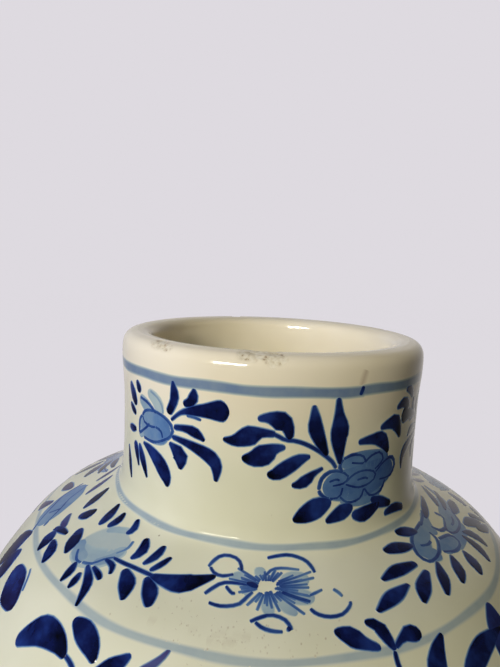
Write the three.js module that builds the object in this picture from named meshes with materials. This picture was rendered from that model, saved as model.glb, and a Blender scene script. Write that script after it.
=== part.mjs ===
// A porcelain ginger jar, drawn in millimetres with +Z up.
// The origin is the centre of the foot ring's underside, where the jar meets the table.
// The jar is thrown as sections that are luted edge to edge with slip before it is fired:
// a straight neck with a thick rolled lip, an upper and a lower half of the belly, and a turned foot ring.

import * as THREE from 'three';

// Sides of every turned shape.
const ROUND_STEPS = 60;

// Heights above the table.
const JAR_HEIGHT = 215;
const NECK_FOOT_HEIGHT = 177.3;
const BELLY_SEAM_HEIGHT = 96;
const FOOT_HEIGHT = 8;
const FLOOR_TOP_HEIGHT = 15;

// The neck: its outer radius at the lip, its slightly drawn-in waist, and its mouth.
const NECK_RADIUS = 38;
const NECK_WAIST_RADIUS = 37.2;
const NECK_FOOT_RADIUS = 38.6;
const MOUTH_RADIUS = 29.3;
const NECK_INSIDE_RADIUS = 31;
const LIP_CROWN_RADIUS = 34.4;
const LIP_ROLL_HEIGHT = 5;

// The belly.
const BELLY_RADIUS = 92.5;
const WALL_THICKNESS = 6;

// The foot ring and the flat floor that it carries.
const FOOT_RADIUS = 61;
const FOOT_INSIDE_RADIUS = 50.5;
const FOOT_BEVEL = 1.5;
const FLOOR_RADIUS = 48;

// The outside of the belly from the neck down to the foot, as radius and height.
// The points on each side of the seam have one radius, so the wall stands upright at the seam.
const BELLY_OUTLINE = [
  [NECK_FOOT_RADIUS, NECK_FOOT_HEIGHT],
  [57.5, 168],
  [73, 147.5],
  [84, 129],
  [90, 113],
  [BELLY_RADIUS, BELLY_SEAM_HEIGHT],
  [90, 79],
  [83.5, 58],
  [74.5, 37],
  [66.5, 20],
  [FOOT_RADIUS, FOOT_HEIGHT],
];
const SEAM_POINT = 5;
const STEPS_PER_SPAN = 2;
const STEPS_PER_NECK_CURVE = 4;

const belly = new THREE.SplineCurve(BELLY_OUTLINE.map(([radius, height]) => new THREE.Vector2(radius, height)));
const bellySteps = (BELLY_OUTLINE.length - 1) * STEPS_PER_SPAN;
const seamStep = SEAM_POINT * STEPS_PER_SPAN;

// A point of the belly's outside, and the one behind it on the inside of the wall.
function outsidePoint(step) {
  return belly.getPoint(step / bellySteps);
}

function insidePoint(step) {
  const along = belly.getTangent(step / bellySteps);
  const inward = new THREE.Vector2(along.y, -along.x).multiplyScalar(WALL_THICKNESS);
  return outsidePoint(step).add(inward);
}

function pointsBetween(pointAt, firstStep, lastStep) {
  const count = Math.abs(lastStep - firstStep) + 1;
  const direction = Math.sign(lastStep - firstStep);
  return Array.from({ length: count }, (unused, index) => pointAt(firstStep + direction * index));
}

// Turns a section drawn as radius and height round the jar's axis.
function turned(name, section, color, roughness) {
  const geometry = new THREE.LatheGeometry(section, ROUND_STEPS);
  geometry.rotateX(Math.PI / 2);
  const material = new THREE.MeshStandardMaterial({ color, roughness, metalness: 0 });
  const mesh = new THREE.Mesh(geometry, material);
  mesh.name = name;
  return mesh;
}

// The neck: a straight, slightly waisted collar whose lip is rolled over thick and round.
function makeNeck() {
  const waistHeight = (NECK_FOOT_HEIGHT + JAR_HEIGHT) / 2;
  const lipFootHeight = JAR_HEIGHT - LIP_ROLL_HEIGHT;
  const outline = new THREE.Path();
  outline.moveTo(NECK_INSIDE_RADIUS, NECK_FOOT_HEIGHT);
  outline.lineTo(NECK_FOOT_RADIUS, NECK_FOOT_HEIGHT);
  outline.quadraticCurveTo(NECK_WAIST_RADIUS, NECK_FOOT_HEIGHT + 3, NECK_WAIST_RADIUS, waistHeight);
  outline.quadraticCurveTo(NECK_WAIST_RADIUS, lipFootHeight - 4, NECK_RADIUS, lipFootHeight);
  outline.quadraticCurveTo(NECK_RADIUS, JAR_HEIGHT, LIP_CROWN_RADIUS, JAR_HEIGHT);
  outline.quadraticCurveTo(MOUTH_RADIUS, JAR_HEIGHT, MOUTH_RADIUS, lipFootHeight);
  outline.lineTo(NECK_INSIDE_RADIUS, lipFootHeight - LIP_ROLL_HEIGHT);
  outline.lineTo(NECK_INSIDE_RADIUS, NECK_FOOT_HEIGHT);
  return turned('neck', outline.getPoints(STEPS_PER_NECK_CURVE), 0xd4cfb9, 0.12);
}

// The upper half of the belly: the sloping shoulder, open at the neck and at the seam.
function makeUpperBody() {
  const section = [
    new THREE.Vector2(NECK_INSIDE_RADIUS, NECK_FOOT_HEIGHT),
    new THREE.Vector2(NECK_INSIDE_RADIUS, NECK_FOOT_HEIGHT - WALL_THICKNESS / 2),
    ...pointsBetween(insidePoint, 0, seamStep),
    ...pointsBetween(outsidePoint, seamStep, 0),
    new THREE.Vector2(NECK_INSIDE_RADIUS, NECK_FOOT_HEIGHT),
  ];
  return turned('upper_body', section, 0xcfccbd, 0.12);
}

// The lower half of the belly, thrown as a bowl with its floor.
function makeLowerBody() {
  const lastInsideStep = bellySteps - 1;
  const section = [
    new THREE.Vector2(0, FOOT_HEIGHT),
    ...pointsBetween(outsidePoint, bellySteps, seamStep),
    ...pointsBetween(insidePoint, seamStep, lastInsideStep),
    new THREE.Vector2(FLOOR_RADIUS, FLOOR_TOP_HEIGHT),
    new THREE.Vector2(0, FLOOR_TOP_HEIGHT),
  ];
  return turned('lower_body', section, 0xcfccbd, 0.12);
}

// The foot ring, turned on the wheel and left bare of glaze so that the jar doesn't stick to the kiln shelf.
function makeFootRing() {
  const section = [
    new THREE.Vector2(FOOT_INSIDE_RADIUS, FOOT_HEIGHT),
    new THREE.Vector2(FOOT_INSIDE_RADIUS + FOOT_BEVEL, 0),
    new THREE.Vector2(FOOT_RADIUS - 2 * FOOT_BEVEL, 0),
    new THREE.Vector2(FOOT_RADIUS - FOOT_BEVEL, FOOT_BEVEL),
    new THREE.Vector2(FOOT_RADIUS - FOOT_BEVEL / 2, FOOT_HEIGHT),
    new THREE.Vector2(FOOT_INSIDE_RADIUS, FOOT_HEIGHT),
  ];
  return turned('foot_ring', section, 0xb9a58c, 0.85);
}

const gingerJar = new THREE.Group();
gingerJar.add(makeNeck(), makeUpperBody(), makeLowerBody(), makeFootRing());

export default gingerJar;
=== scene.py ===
# %% [markdown]
# A ginger jar is a porcelain pot with a short straight neck and a round belly. The potter throws it in
# sections, joins them edge to edge with wet slip, paints the dry clay with cobalt, dips the jar in clear
# glaze and fires everything at once. This lesson follows that order: turn the sections, mix the glaze,
# then lay the brushwork on stroke by stroke. Work starts from the measured frame, so every size below is
# read from it or is a plain number of millimetres.

# %% Load the measured jar
import math
import random
from bisect import bisect
from collections import namedtuple

import bmesh
import bpy
from mathutils import Matrix, Vector, noise
from mathutils.geometry import interpolate_bezier


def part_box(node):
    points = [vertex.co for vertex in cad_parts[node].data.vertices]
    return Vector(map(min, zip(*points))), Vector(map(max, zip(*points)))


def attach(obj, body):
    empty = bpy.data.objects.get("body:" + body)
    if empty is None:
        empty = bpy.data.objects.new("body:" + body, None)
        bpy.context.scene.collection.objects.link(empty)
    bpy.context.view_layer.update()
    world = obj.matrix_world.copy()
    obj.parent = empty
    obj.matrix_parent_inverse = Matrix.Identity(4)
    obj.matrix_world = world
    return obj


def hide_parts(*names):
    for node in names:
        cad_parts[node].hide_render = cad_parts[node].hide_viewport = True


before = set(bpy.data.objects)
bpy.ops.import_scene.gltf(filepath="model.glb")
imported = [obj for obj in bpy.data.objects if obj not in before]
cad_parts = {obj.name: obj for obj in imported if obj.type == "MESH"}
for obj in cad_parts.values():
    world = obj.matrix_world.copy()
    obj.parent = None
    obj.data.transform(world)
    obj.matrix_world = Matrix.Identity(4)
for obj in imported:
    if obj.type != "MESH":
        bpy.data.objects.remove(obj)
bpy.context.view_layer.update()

MM = 0.001
neck_low, neck_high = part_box("neck")
belly_low, belly_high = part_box("upper_body")
_, ring_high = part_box("foot_ring")
JAR_TOP = neck_high.z / MM
NECK_FOOT = neck_low.z / MM
BELLY_SEAM = belly_low.z / MM
BELLY_RADIUS = belly_high.x / MM
FOOT_TOP = ring_high.z / MM
print(f"the jar is {JAR_TOP:.1f} mm tall and {2 * BELLY_RADIUS:.1f} mm across")

# %% [markdown]
# A thrown pot is one outline turned round an axis. The outline could be a Bezier curve drawn by hand in
# the editor, but a short list of points is easier to change: each point is a radius and a height in
# millimetres, and a smooth line passes through all of them. Blender's own Bezier function fills in the
# points between. The line starts on the crown of the lip and runs down the outside to the foot.

# %% Draw the outside of the jar
STEPS_PER_SPAN = 10


def smooth_line(points, steps=STEPS_PER_SPAN):
    """A rounded line through every point, with the same count of steps in each span."""
    points = [Vector(point) for point in points]
    padded = [points[0]] + points + [points[-1]]
    line = []
    for before, start, end, after in zip(padded, padded[1:], padded[2:], padded[3:]):
        leaving = start + (end - before) / 6
        arriving = end - (after - start) / 6
        line += interpolate_bezier(start, leaving, arriving, end, steps + 1)[:-1]
    return line + [points[-1]]


# The crown is the highest line of the lip, where its outside turns into its inside.
CROWN_RADIUS = 34.2
LIP_AND_NECK = [
    (CROWN_RADIUS, JAR_TOP), (36.1, JAR_TOP - 0.5), (37.3, JAR_TOP - 1.8), (37.7, JAR_TOP - 3.9),
    (37.6, JAR_TOP - 8), (37.2, JAR_TOP - 14), (37.1, JAR_TOP - 20), (37.1, JAR_TOP - 28),
    (37.4, JAR_TOP - 33), (37.8, JAR_TOP - 35.8), (38.6, NECK_FOOT),
]
BELLY = [
    (40.6, NECK_FOOT - 1.6), (47, NECK_FOOT - 4.4), (57.5, NECK_FOOT - 9.3), (65.8, NECK_FOOT - 18.6),
    (73, NECK_FOOT - 29.8), (84, NECK_FOOT - 48.3), (90, BELLY_SEAM + 17), (BELLY_RADIUS, BELLY_SEAM),
    (90, BELLY_SEAM - 17), (83.5, BELLY_SEAM - 38), (74.5, BELLY_SEAM - 59),
    (66.5, BELLY_SEAM - 76), (61, FOOT_TOP + 1.2), (60.4, FOOT_TOP),
]
outside = smooth_line(LIP_AND_NECK + BELLY)
neck_foot_index = (len(LIP_AND_NECK) - 1) * STEPS_PER_SPAN
seam_index = (LIP_AND_NECK + BELLY).index((BELLY_RADIUS, BELLY_SEAM)) * STEPS_PER_SPAN
print(f"{len(outside)} points from the lip to the foot")

# %% [markdown]
# Each thrown section has an outside and an inside, and its profile is a closed loop, so that turning it
# gives a wall with real thickness. The Spin operator would turn the loop round the axis, but it slows down
# badly over hundreds of steps. A flat grid that is rolled round the axis gives the same wall at once: one
# side of the grid follows the turn and the other follows the profile. Where the roll meets itself, and
# where a profile touches the axis, the doubled points are merged.

# %% Roll the sections round the axis
TURN_STEPS = 480
WALL = 6
NECK_INSIDE = 31
FLOOR_TOP = 15
# The inside of the wall starts and stops this many points from the ends of the outside, at its corners.
SHOULDER_CORNER = 12
FLOOR_CORNER = 24


def around(angle, radius, height):
    """A point at an angle from the front, to the right, in metres."""
    turn = math.radians(angle)
    return Vector((radius * math.sin(turn), -radius * math.cos(turn), height)) * MM


def inside_of(line):
    """The same line moved in by the thickness of the wall."""
    moved = []
    for before, here, after in zip([line[0]] + line, line, line[1:] + [line[-1]]):
        along = (after - before).normalized()
        moved.append(here + Vector((along.y, -along.x)) * WALL)
    return moved


def turned(profile):
    """A closed wall of revolution from a loop of radius and height points."""
    bm = bmesh.new()
    count = len(profile)
    bmesh.ops.create_grid(bm, x_segments=TURN_STEPS, y_segments=count, size=1)
    for vert in bm.verts:
        radius, height = profile[round((vert.co.y + 1) / 2 * count) % count]
        vert.co = around(180 * vert.co.x, radius, height)
    bmesh.ops.remove_doubles(bm, verts=bm.verts, dist=0.001 * MM)
    bmesh.ops.dissolve_degenerate(bm, edges=bm.edges, dist=0.001 * MM)
    bmesh.ops.recalc_face_normals(bm, faces=bm.faces)
    return bm


neck_outside = outside[:neck_foot_index + 1]
upper_outside = outside[neck_foot_index:seam_index + 1]
lower_outside = outside[seam_index:]
lip_inside = smooth_line([
    (CROWN_RADIUS, JAR_TOP), (32.3, JAR_TOP - 0.3), (30.8, JAR_TOP - 1.3), (30.2, JAR_TOP - 2.9),
    (30.1, JAR_TOP - 6), (30.7, JAR_TOP - 13), (NECK_INSIDE, JAR_TOP - 22), (NECK_INSIDE, NECK_FOOT),
])
neck_wall = turned(neck_outside[::-1] + lip_inside[1:])

neck_opening = Vector((NECK_INSIDE, NECK_FOOT))
shoulder_inside = inside_of(upper_outside)[SHOULDER_CORNER:][::-1]
shoulder_corner = smooth_line([(38, NECK_FOOT - 5.6), (33.5, NECK_FOOT - 4.4), neck_opening])[1:-1]
upper_wall = turned([neck_opening] + upper_outside + shoulder_inside + shoulder_corner)

bowl_inside = inside_of(lower_outside)[:-FLOOR_CORNER]
floor_line = smooth_line([
    bowl_inside[-1], (55, FLOOR_TOP + 1.2), (48, FLOOR_TOP), (30, FLOOR_TOP), (0, FLOOR_TOP),
], 6)
lower_wall = turned(lower_outside[::-1] + bowl_inside + floor_line[1:] + [Vector((0, FOOT_TOP))])
print("turned the neck, the upper body and the lower body")

# %% [markdown]
# The foot ring is turned when the clay is leather hard, and it is wiped bare of glaze so that the jar
# doesn't fuse to the kiln shelf. Its edges are worn round, and its profile closes on itself.

# %% Turn the foot ring
RING_WIDTH = 10.2
ring_outer = ring_high.x / MM
ring_inner = ring_outer - RING_WIDTH
ring_outline = smooth_line([
    (ring_inner, FOOT_TOP), (ring_inner + 0.4, 4), (ring_inner + 1.4, 0.7), (ring_inner + 3, 0),
    (ring_outer - 3.2, 0), (ring_outer - 1.4, 0.7), (ring_outer - 0.5, 3), (ring_outer, FOOT_TOP),
], 6)
# The smooth line swings a little below the table beside the flat underside, so it is held at the table.
foot_wall = turned([Vector((point.x, max(point.y, 0))) for point in ring_outline])
print("turned the foot ring")

# %% [markdown]
# The lip of a jar that has been opened for many years is knocked. Most knocks only bruise the glaze: a
# shallow scoop with a rough floor. Sculpting would do it too, but here each bruise is a place on the lip,
# a size and a depth, and every point of the mesh near it is pushed in, more at the middle than at the rim.
# The same amount is kept on the points as an attribute, so that the glaze knows where to turn rough.

# %% Bruise the lip
RAGGED_EDGE = 1.3
ROUGH_FLOOR = 0.6
Bruise = namedtuple("Bruise", "angle radius height width tall depth")
BRUISES = [
    Bruise(3, 33.8, JAR_TOP - 0.3, 3.6, 2.8, 0.24),
    Bruise(-1.5, 35.6, JAR_TOP - 0.7, 2.6, 2.2, 0.24),
    Bruise(6, 36.2, JAR_TOP - 1.0, 2.6, 2.2, 0.22),
    Bruise(-35.5, 35.8, JAR_TOP - 0.7, 2.8, 1.8, 0.26),
    Bruise(-31, 36.5, JAR_TOP - 1.2, 1.6, 1.2, 0.2),
    Bruise(-19, 31.2, JAR_TOP - 0.6, 1.0, 0.9, 0.35),
    Bruise(19, 31.4, JAR_TOP - 0.6, 1.3, 0.8, 0.35),
    Bruise(118, 35.5, JAR_TOP - 0.8, 2.4, 2.0, 0.4),
    Bruise(205, 34.8, JAR_TOP - 0.4, 1.8, 1.6, 0.4),
]


def bruise_lip(bm):
    """Scoops every bruise out of the lip and keeps how deep each point went."""
    worn = bm.verts.layers.float.new("worn")
    bm.normal_update()
    for bruise in BRUISES:
        centre = around(bruise.angle, bruise.radius, bruise.height)
        sideways = around(bruise.angle + 90, 1, 0).normalized()
        for vert in bm.verts:
            offset = vert.co - centre
            across = offset.dot(sideways) / (bruise.width * MM)
            rest = (offset - sideways * offset.dot(sideways)).length / (bruise.tall * MM)
            reach = across * across + rest * rest
            if reach < 2:
                ragged = reach + 0.5 * noise.noise(vert.co / (RAGGED_EDGE * MM))
                amount = max(0.0, min(1.0, 2.2 * (1 - ragged)))
                pits = 0.6 + 0.4 * noise.noise(vert.co / (ROUGH_FLOOR * MM))
                vert[worn] = max(vert[worn], amount)
                vert.co -= vert.normal * bruise.depth * amount * pits * MM


bruise_lip(neck_wall)
print(f"{len(BRUISES)} bruises on the lip")

# %% [markdown]
# The glaze and the painting are one layer on the real jar: cobalt is brushed on the raw clay and melts
# into the clear glaze above it. So one recipe serves both. Every painted point carries an amount of ink
# between 0 and 1, and a colour ramp says what that much cobalt looks like: a grey-blue wash when thin, a
# clear blue when fuller, and almost black where a loaded brush left a pool. Colours are written as the
# usual hex values, and one function turns them to the linear values that Cycles mixes.

# %% Small helpers for materials
def paint(code):
    """A hex colour as linear red, green, blue and a full alpha."""
    parts = [int(code[place:place + 2], 16) / 255 for place in (1, 3, 5)]
    linear = [part / 12.92 if part <= 0.04045 else ((part + 0.055) / 1.055) ** 2.4 for part in parts]
    return (*linear, 1.0)


def add_node(tree, kind, settings=None, links=None):
    """Adds a shader node, sets its values and joins its inputs to other outputs.

    An input goes by its name, or by its number where names repeat: the Mix node's colours are inputs
    6 and 7 and output 2. Stops are the places and hex colours of a colour ramp.
    """
    node = tree.nodes.new(kind)
    for name, value in (settings or {}).items():
        if name == "stops":
            elements = node.color_ramp.elements
            while len(elements) < len(value):
                elements.new(0.5)
            for element, (place, code) in zip(elements, value):
                element.position = place
                element.color = paint(code)
        elif isinstance(name, int) or name in node.inputs:
            node.inputs[name].default_value = value
        else:
            setattr(node, name, value)
    for name, source in (links or {}).items():
        tree.links.new(source, node.inputs[name])
    return node


def new_material(name):
    """An empty node material and its tree, with only the output node in it."""
    material = bpy.data.materials.new(name)
    material.use_nodes = True
    material.node_tree.nodes.clear()
    return material, material.node_tree


print("a mid grey as linear red:", round(paint("#808080")[0], 3))

# %% [markdown]
# Export porcelain of this kind has a warm, faintly green glaze, because a little iron in the clay colours
# it in the smoky kiln. It is glossy but not flat as glass: the glaze pulls into a very slight orange peel,
# and here and there an iron speck burns through. The cobalt settles unevenly, which a fine noise adds to
# the ink. Where the lip is worn, the bare body shows: matt, a little pink, and stained in its pits.

# %% Mix the glaze over porcelain and cobalt
COBALT = [
    (0.00, "#c9cdc0"), (0.16, "#abbbb9"), (0.30, "#8199ab"), (0.44, "#587aa5"),
    (0.58, "#35558f"), (0.72, "#1b3172"), (0.86, "#0b1544"), (1.00, "#030511"),
]
BARE_BODY = [(0.33, "#9c8568"), (0.41, "#d3c7aa"), (0.56, "#e2d9c1"), (0.72, "#ece4d0")]
# From this far below the crown upwards the glaze is painted lighter and creamier, as painted light on the
# lip, fully so from the second depth up.
LIP_LIGHT_START_DEPTH = 26
LIP_LIGHT_FULL_DEPTH = 6
PEEL_SIZE = 5 * MM
MOTTLE_SIZE = 22 * MM
SPECK_SPACING = 9 * MM
# Cobalt's own grain is finer than 0.1 mm, too fine to show, so it is drawn as clumps of this size.
INK_GRAIN = 1.2 * MM
INK_CLOUD = 4.5 * MM
# The pores of bare porcelain are finer too, so these are the larger pits that dirt has filled.
PIT_SIZE = 0.9 * MM


def glazed_porcelain(name):
    """Clear glaze over porcelain, showing whatever cobalt, iron and wear its points carry."""
    material, tree = new_material(name)
    place = add_node(tree, "ShaderNodeTexCoord").outputs["Object"]
    ink = add_node(tree, "ShaderNodeAttribute", {"attribute_name": "ink"}).outputs["Fac"]
    iron = add_node(tree, "ShaderNodeAttribute", {"attribute_name": "iron"}).outputs["Fac"]
    worn = add_node(tree, "ShaderNodeAttribute", {"attribute_name": "worn"}).outputs["Fac"]

    # The fired body under clear glaze drifts between a creamier and a greener tint. Towards the lip it is
    # painted
    # lighter and creamier than the belly: painted light on the lip and the upper neck.
    mottle = add_node(tree, "ShaderNodeTexNoise", {"Scale": 1 / MOTTLE_SIZE, "Detail": 2.0},
                      {"Vector": place})
    glaze_tint = add_node(tree, "ShaderNodeValToRGB", {"stops": [(0.35, "#d5d3b7"), (0.65, "#dcdac1")]},
                     {"Fac": mottle.outputs["Fac"]})
    # This lighter, creamier tint is the painted light on the lip and the upper neck.
    thin = add_node(tree, "ShaderNodeValToRGB", {"stops": [(0.35, "#e7dcc0"), (0.65, "#ede3cb")]},
                    {"Fac": mottle.outputs["Fac"]})
    height = add_node(tree, "ShaderNodeSeparateXYZ", links={"Vector": place}).outputs["Z"]
    lip_light = add_node(tree, "ShaderNodeMapRange",
                       {"From Min": (JAR_TOP - LIP_LIGHT_START_DEPTH) * MM, "From Max": (JAR_TOP - LIP_LIGHT_FULL_DEPTH) * MM,
                        "interpolation_type": "SMOOTHSTEP"}, {"Value": height})
    body = add_node(tree, "ShaderNodeMix", {"data_type": "RGBA"},
                    {0: lip_light.outputs[0], 6: glaze_tint.outputs["Color"], 7: thin.outputs["Color"]})

    # Iron specks: the middle of a few cells of a Voronoi pattern, so that they lie far apart and at random.
    cells = add_node(tree, "ShaderNodeTexVoronoi", {"Scale": 1 / SPECK_SPACING}, {"Vector": place})
    chance = add_node(tree, "ShaderNodeSeparateColor", links={"Color": cells.outputs["Color"]})
    rare = add_node(tree, "ShaderNodeMath", {"operation": "GREATER_THAN", 1: 0.86},
                    {0: chance.outputs["Red"]})
    small = add_node(tree, "ShaderNodeMapRange", {"From Min": 0.012, "From Max": 0.03, "To Min": 0.6,
                                                  "To Max": 0.0}, {"Value": cells.outputs["Distance"]})
    speck = add_node(tree, "ShaderNodeMath", {"operation": "MULTIPLY"},
                     {0: rare.outputs[0], 1: small.outputs[0]})
    speckled = add_node(tree, "ShaderNodeMix", {"data_type": "RGBA", 7: paint("#6b5a45")},
                        {0: speck.outputs[0], 6: body.outputs[2]})

    # Cobalt: the grain of the pigment makes the ink a little thicker and thinner.
    grain = add_node(tree, "ShaderNodeTexNoise", {"Scale": 1 / INK_GRAIN, "Detail": 3.0}, {"Vector": place})
    uneven = add_node(tree, "ShaderNodeMapRange", {"To Min": 0.90, "To Max": 1.10},
                      {"Value": grain.outputs["Fac"]})
    cloud = add_node(tree, "ShaderNodeTexNoise", {"Scale": 1 / INK_CLOUD, "Detail": 1.0}, {"Vector": place})
    pooled = add_node(tree, "ShaderNodeMapRange", {"From Min": 0.25, "From Max": 0.75, "To Min": 0.88,
                                                   "To Max": 1.10}, {"Value": cloud.outputs["Fac"]})
    grained = add_node(tree, "ShaderNodeMath", {"operation": "MULTIPLY"}, {0: ink, 1: uneven.outputs[0]})
    settled = add_node(tree, "ShaderNodeMath", {"operation": "MULTIPLY"},
                       {0: grained.outputs[0], 1: pooled.outputs[0]})
    blue = add_node(tree, "ShaderNodeValToRGB", {"stops": COBALT}, {"Fac": settled.outputs[0]})
    covered = add_node(tree, "ShaderNodeMapRange", {"From Min": 0.0, "From Max": 0.14}, {"Value": ink})
    painted = add_node(tree, "ShaderNodeMix", {"data_type": "RGBA"},
                       {0: covered.outputs[0], 6: speckled.outputs[2], 7: blue.outputs["Color"]})

    # Iron stains are rust brown, and the worn lip shows the bare body with stained pits.
    stained = add_node(tree, "ShaderNodeMix", {"data_type": "RGBA", 7: paint("#80502a")},
                       {0: iron, 6: painted.outputs[2]})
    pits = add_node(tree, "ShaderNodeTexNoise", {"Scale": 1 / PIT_SIZE, "Detail": 3.0}, {"Vector": place})
    bare = add_node(tree, "ShaderNodeValToRGB", {"stops": BARE_BODY}, {"Fac": pits.outputs["Fac"]})
    colour = add_node(tree, "ShaderNodeMix", {"data_type": "RGBA"},
                      {0: worn, 6: stained.outputs[2], 7: bare.outputs["Color"]})

    # Gloss: as smooth as a plate, with a slight orange peel that bends highlights, and matt where worn.
    gloss = add_node(tree, "ShaderNodeMapRange", {"To Min": 0.09, "To Max": 0.5}, {"Value": worn})
    peel = add_node(tree, "ShaderNodeTexNoise", {"Scale": 1 / PEEL_SIZE, "Detail": 1.0}, {"Vector": place})
    rough = add_node(tree, "ShaderNodeMath", {"operation": "MULTIPLY"}, {0: worn, 1: pits.outputs["Fac"]})
    pitted = add_node(tree, "ShaderNodeBump", {"Strength": 0.5, "Distance": 0.25 * MM},
                      {"Height": rough.outputs[0]})
    relief = add_node(tree, "ShaderNodeBump", {"Strength": 0.25, "Distance": 0.12 * MM},
                      {"Height": peel.outputs["Fac"], "Normal": pitted.outputs[0]})
    glaze = add_node(tree, "ShaderNodeBsdfPrincipled", {"IOR": 1.5},
                     {"Base Color": colour.outputs[2], "Roughness": gloss.outputs[0],
                      "Normal": relief.outputs[0]})
    add_node(tree, "ShaderNodeOutputMaterial", links={"Surface": glaze.outputs[0]})
    return material


clear_glaze = glazed_porcelain("clear_glaze_on_porcelain")
cobalt_glaze = glazed_porcelain("cobalt_under_clear_glaze")
print("mixed", clear_glaze.name, "and", cobalt_glaze.name)

# %% [markdown]
# Bare fired porcelain is called biscuit. On the foot it is fine, dry and slightly gritty, and it has taken
# a rusty flush from the kiln. An image texture could be used, but two noises do it at any size: a broad
# one for the flush and a fine one for the grit. Its surface is rough all over, so the foot looks dry beside
# the glaze.

# %% Mix the biscuit of the foot
# The grit is about 0.1 mm, too fine to show, so it is drawn four times coarser.
GRIT_SIZE = 0.4 * MM
FLUSH_SIZE = 9 * MM
FLUSH = [(0.30, "#8f6f50"), (0.48, "#b99c7c"), (0.70, "#cdbda5")]


def bare_biscuit():
    """Unglazed porcelain with a rusty kiln flush and fine grit."""
    material, tree = new_material("bare_biscuit_foot")
    place = add_node(tree, "ShaderNodeTexCoord").outputs["Object"]
    flush = add_node(tree, "ShaderNodeTexNoise", {"Scale": 1 / FLUSH_SIZE, "Detail": 4.0}, {"Vector": place})
    colour = add_node(tree, "ShaderNodeValToRGB", {"stops": FLUSH}, {"Fac": flush.outputs["Fac"]})
    grit = add_node(tree, "ShaderNodeTexNoise", {"Scale": 1 / GRIT_SIZE, "Detail": 3.0}, {"Vector": place})
    relief = add_node(tree, "ShaderNodeBump", {"Strength": 0.5, "Distance": 0.1 * MM},
                      {"Height": grit.outputs["Fac"]})
    clay = add_node(tree, "ShaderNodeBsdfPrincipled", {"Roughness": 0.85, "IOR": 1.5},
                    {"Base Color": colour.outputs["Color"], "Normal": relief.outputs[0]})
    add_node(tree, "ShaderNodeOutputMaterial", links={"Surface": clay.outputs[0]})
    return material


biscuit = bare_biscuit()
print("mixed", biscuit.name)

# %% [markdown]
# Every finished mesh becomes a piece in the same way: it is shaded smooth, edges sharper than a set angle
# stay crisp, it takes its material and it rides on the jar's one body.

# %% Turn the meshes into pieces
CRISP_ANGLE = math.radians(50)


def make_piece(name, bm, material, slot, *stands_for):
    """Makes a named object from a bmesh and ties it to the frame."""
    mesh = bpy.data.meshes.new(name)
    bm.to_mesh(mesh)
    bm.free()
    mesh.shade_smooth()
    mesh.set_sharp_from_angle(angle=CRISP_ANGLE)
    mesh.materials.append(material)
    piece = bpy.data.objects.new(name, mesh)
    bpy.context.scene.collection.objects.link(piece)
    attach(piece, "root")
    if stands_for:
        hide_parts(*stands_for)
    print(f"{name}: {len(mesh.polygons)} faces")


make_piece("glazed_neck", neck_wall, clear_glaze, "glaze", "neck")
make_piece("glazed_upper_body", upper_wall, clear_glaze, "glaze", "upper_body")
make_piece("glazed_lower_body", lower_wall, clear_glaze, "glaze", "lower_body")
make_piece("biscuit_foot_ring", foot_wall, biscuit, "biscuit", "foot_ring")

# %% [markdown]
# To paint on the jar, a flat drawing has to wrap round a curved wall. A place on the wall is an angle
# from the front and a distance in millimetres up the wall from the foot of the neck, so the neck is
# positive and the belly negative. A motif is drawn flat round its own middle, in millimetres to the right
# and up, and a spot says where that middle goes, how large the motif is drawn and whether it is mirrored.

# %% Find places on the wall
Spot = namedtuple("Spot", "angle distance size flip", defaults=(1.0, 1))


def lengths_of(line):
    """How far along the line each of its points lies."""
    lengths = [0.0]
    for start, end in zip(line, line[1:]):
        lengths.append(lengths[-1] + (end.xy - start.xy).length)
    return lengths


def point_at(line, lengths, distance):
    """The point that lies this far along a line."""
    index = min(max(bisect(lengths, distance), 1), len(line) - 1)
    span = lengths[index] - lengths[index - 1]
    return line[index - 1].lerp(line[index], (distance - lengths[index - 1]) / span)


outside_lengths = lengths_of(outside)
neck_foot_length = outside_lengths[neck_foot_index]
outside_normals = [(before - here).normalized() for here, before in zip(inside_of(outside), outside)]


def on_wall(spot, right, up, lift):
    """The point of the wall that lies this far right of and above a spot, raised by lift."""
    down = neck_foot_length - (spot.distance + up * spot.size)
    down = min(max(down, 0.2), outside_lengths[-1] - 0.2)
    here = point_at(outside, outside_lengths, down)
    raised = here + point_at(outside_normals, outside_lengths, down) * lift
    angle = spot.angle + math.degrees(spot.flip * right * spot.size / here.x)
    return around(angle, raised.x, raised.y)


print(f"the wall is {outside_lengths[-1]:.0f} mm long, and the neck is {neck_foot_length:.0f} mm of it")

# %% [markdown]
# The whole painting is made of single strokes of a pointed brush. A stroke is a line of touches: right,
# up and how wide the brush is pressed there. A grid is laid along the line, and its ends close to a point
# or a round. Cobalt bleeds a little into the glaze, so the outermost columns fade to the ink under them.
# The last columns turn under and come back inside the wall, which makes each stroke a thin closed skin.
# A darker stroke lies a little higher than a paler one, and its edges lie lowest, so that a dark line
# always shows on a wash and the pale fringe of one stroke never cuts into another. Painting on an image
# would be quicker to make, but it would blur up close, and strokes stay sharp at any distance.

# %% Load the brush
# How far the ink bleeds, and how far apart the grid's rows and columns lie, all in millimetres.
BLEED = 0.42
STATION = 0.75
COLUMN = 1.3
# Heights above the wall: a stroke's edge, its top for a full load of ink, and its hidden underside.
EDGE_LIFT = 0.012
LIFT_PER_INK = 0.05
SUNK = -0.05
# Strokes that follow each other rise by a hair, so that no two share a surface.
NEXT_LIFT = 0.0002
LIFT_STEPS = 30
# Most of a stroke's half width that may fade: less for a stroke with an edge than for a soft stain.
FIRM_FADE = 0.6
SOFT_FADE = 0.95
LEAF_INK = (0.72, 1.0)
LINE_INK = (0.66, 0.70)
EDGE_INK = 0.11


def round_end(gone, radius):
    """How much of its full width a stroke has this far from its end."""
    if radius < 0.05 or gone >= radius:
        return 1.0
    return math.sqrt(max(0.0, 1 - (1 - gone / radius) ** 2))


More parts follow.
